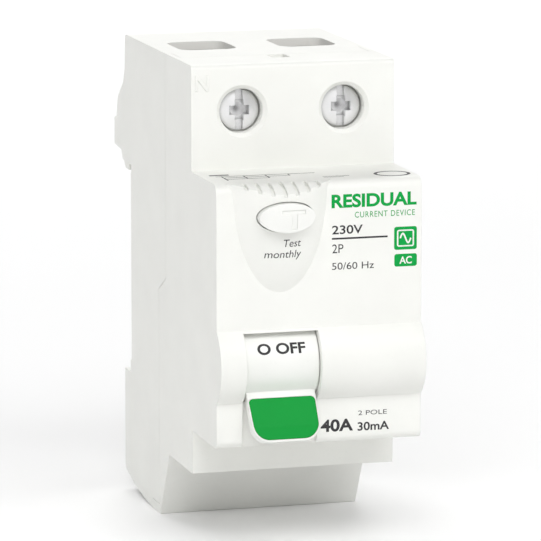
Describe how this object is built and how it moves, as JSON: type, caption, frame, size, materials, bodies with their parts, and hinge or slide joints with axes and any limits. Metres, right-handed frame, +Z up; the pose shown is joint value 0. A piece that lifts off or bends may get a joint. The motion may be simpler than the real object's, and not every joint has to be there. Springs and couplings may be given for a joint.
{
  "type": "residual current device",
  "caption": "Rail-mounted residual current device with a toggle lever, an oval test button, caged screw terminals on top and plug-in jaws below.",
  "frame": {"origin": "centre of the flat seat that lies on the front face of the 35 mm rail", "axes": "+Y out of the back towards the rail, +Z up along the device, +X to the right seen from the front"},
  "size_m": [0.036, 0.0749, 0.0826],
  "materials": {
    "casing_white": "fine matt moulded thermoplastic",
    "lever_white": "satin moulded thermoplastic",
    "lever_green": "satin moulded thermoplastic",
    "clip_plastic": "moulded acetal",
    "insulator_grey": "moulded insulating plastic",
    "mechanism_black": "glass-filled moulded plastic",
    "plated_steel": "zinc plated sheet steel",
    "screw_steel": "bright nickel plated steel",
    "spring_steel": "drawn spring wire",
    "copper": "bare copper",
    "silver_contact": "silver alloy",
    "tinned_bronze": "tinned spring bronze",
    "coil_wire": "enamelled copper wire",
    "core_alloy": "wound magnetic alloy tape",
    "resistor_glaze": "cement glaze",
    "board_green": "solder mask over fibreglass",
    "component_black": "moulded component bodies"
  },
  "bodies": {
    "casing": {"front_cover": "casing_white", "rear_case": "casing_white", "pole_divider": "insulator_grey", "lever_axle": "screw_steel", "lever_spring": "spring_steel", "mechanism_plate_left": "plated_steel", "mechanism_plate_right": "plated_steel", "carrier_axle": "screw_steel", "opening_spring": "spring_steel", "trip_axle": "screw_steel", "relay_yoke": "plated_steel", "relay_bobbin": "insulator_grey", "relay_coil": "coil_wire", "relay_spring": "spring_steel", "test_button_spring": "spring_steel", "test_contact": "tinned_bronze", "test_block": "insulator_grey", "test_resistor": "resistor_glaze", "circuit_board": "board_green", "board_parts": "component_black", "toroid_core": "core_alloy", "secondary_winding": "coil_wire", "toroid_cradle": "insulator_grey", "fixed_contact_n": "copper", "fixed_contact_l": "copper", "fixed_tip_n": "silver_contact", "fixed_tip_l": "silver_contact", "braid_n": "copper", "braid_l": "copper", "arc_plates_n": "plated_steel", "arc_plates_l": "plated_steel", "arc_cheeks_n": "insulator_grey", "arc_cheeks_l": "insulator_grey", "conductor_n": "copper", "conductor_l": "copper", "comb_jaw_n": "tinned_bronze", "comb_jaw_l": "tinned_bronze"},
    "lever": {"toggle_lever": "lever_white", "lever_insert": "lever_green"},
    "link": {"mechanism_link": "spring_steel"},
    "carrier": {"contact_carrier": "mechanism_black", "moving_contact_n": "copper", "moving_contact_l": "copper", "moving_tip_n": "silver_contact", "moving_tip_l": "silver_contact", "contact_spring_n": "spring_steel", "contact_spring_l": "spring_steel"},
    "trip": {"trip_lever": "mechanism_black"},
    "plunger": {"relay_plunger": "plated_steel"},
    "button": {"test_button": "lever_white"},
    "blade": {"test_blade": "tinned_bronze"},
    "screw_n": {"terminal_screw_n": "screw_steel"},
    "screw_l": {"terminal_screw_l": "screw_steel"},
    "cage_n": {"terminal_cage_n": "plated_steel"},
    "cage_l": {"terminal_cage_l": "plated_steel"},
    "clip": {"din_clip": "clip_plastic"}
  },
  "joints": [
    {"name": "lever_hinge", "type": "hinge", "parent": "casing", "child": "lever", "pos_m": [-0.00693, -0.0535, -0.0086], "axis": [-1, 0, 0], "range_deg": [0, 84]},
    {"name": "link_hinge", "type": "hinge", "parent": "lever", "child": "link", "pos_m": [-0.007, -0.05069, -0.00509], "axis": [1, 0, 0], "range_deg": [0, 97.8]},
    {"name": "carrier_hinge", "type": "hinge", "parent": "casing", "child": "carrier", "pos_m": [0, -0.03, -0.004], "axis": [1, 0, 0], "range_deg": [0, 24.05], "deforming": ["braid_n", "braid_l"]},
    {"name": "button_slide", "type": "slide", "parent": "casing", "child": "button", "axis": [0, 1, 0], "range_m": [0, 0.0015], "stiffness_N_per_m": 800, "springref_m": -0.001, "deforming": ["test_button_spring"]},
    {"name": "blade_hinge", "type": "hinge", "parent": "casing", "child": "blade", "pos_m": [-0.0066, -0.05, 0.0091], "axis": [-1, 0, 0], "range_deg": [0, 10.7]},
    {"name": "plunger_slide", "type": "slide", "parent": "casing", "child": "plunger", "axis": [0, 0, 1], "range_m": [0, 0.002], "deforming": ["relay_spring"]},
    {"name": "trip_hinge", "type": "hinge", "parent": "casing", "child": "trip", "pos_m": [0, -0.04, 0.004], "axis": [-1, 0, 0], "range_deg": [0, 14.2]},
    {"name": "clip_slide", "type": "slide", "parent": "casing", "child": "clip", "axis": [0, 0, -1], "range_m": [0, 0.004], "stiffness_N_per_m": 2000, "springref_m": -0.001},
    {"name": "cage_slide_n", "type": "slide", "parent": "casing", "child": "cage_n", "axis": [0, -1, 0], "range_m": [0, 0.0068]},
    {"name": "screw_turn_n", "type": "hinge", "parent": "casing", "child": "screw_n", "pos_m": [-0.00904, -0.0387, 0.0325], "axis": [0, 1, 0], "range_deg": [0, 3062]},
    {"name": "cage_slide_l", "type": "slide", "parent": "casing", "child": "cage_l", "axis": [0, -1, 0], "range_m": [0, 0.0068]},
    {"name": "screw_turn_l", "type": "hinge", "parent": "casing", "child": "screw_l", "pos_m": [0.00904, -0.0387, 0.0325], "axis": [0, 1, 0], "range_deg": [0, 3062]}
  ],
  "couplings": [
    {"joint": "link_hinge", "follows": "lever_hinge", "ratio": 1.1633},
    {"joint": "carrier_hinge", "follows": "lever_hinge", "ratio": 0.28571},
    {"joint": "blade_hinge", "follows": "button_slide", "rad_per_m": 124.22},
    {"joint": "trip_hinge", "follows": "plunger_slide", "rad_per_m": 122.5},
    {"joint": "screw_turn_n", "follows": "cage_slide_n", "rad_per_m": 7854},
    {"joint": "screw_turn_l", "follows": "cage_slide_l", "rad_per_m": 7854}
  ]
}
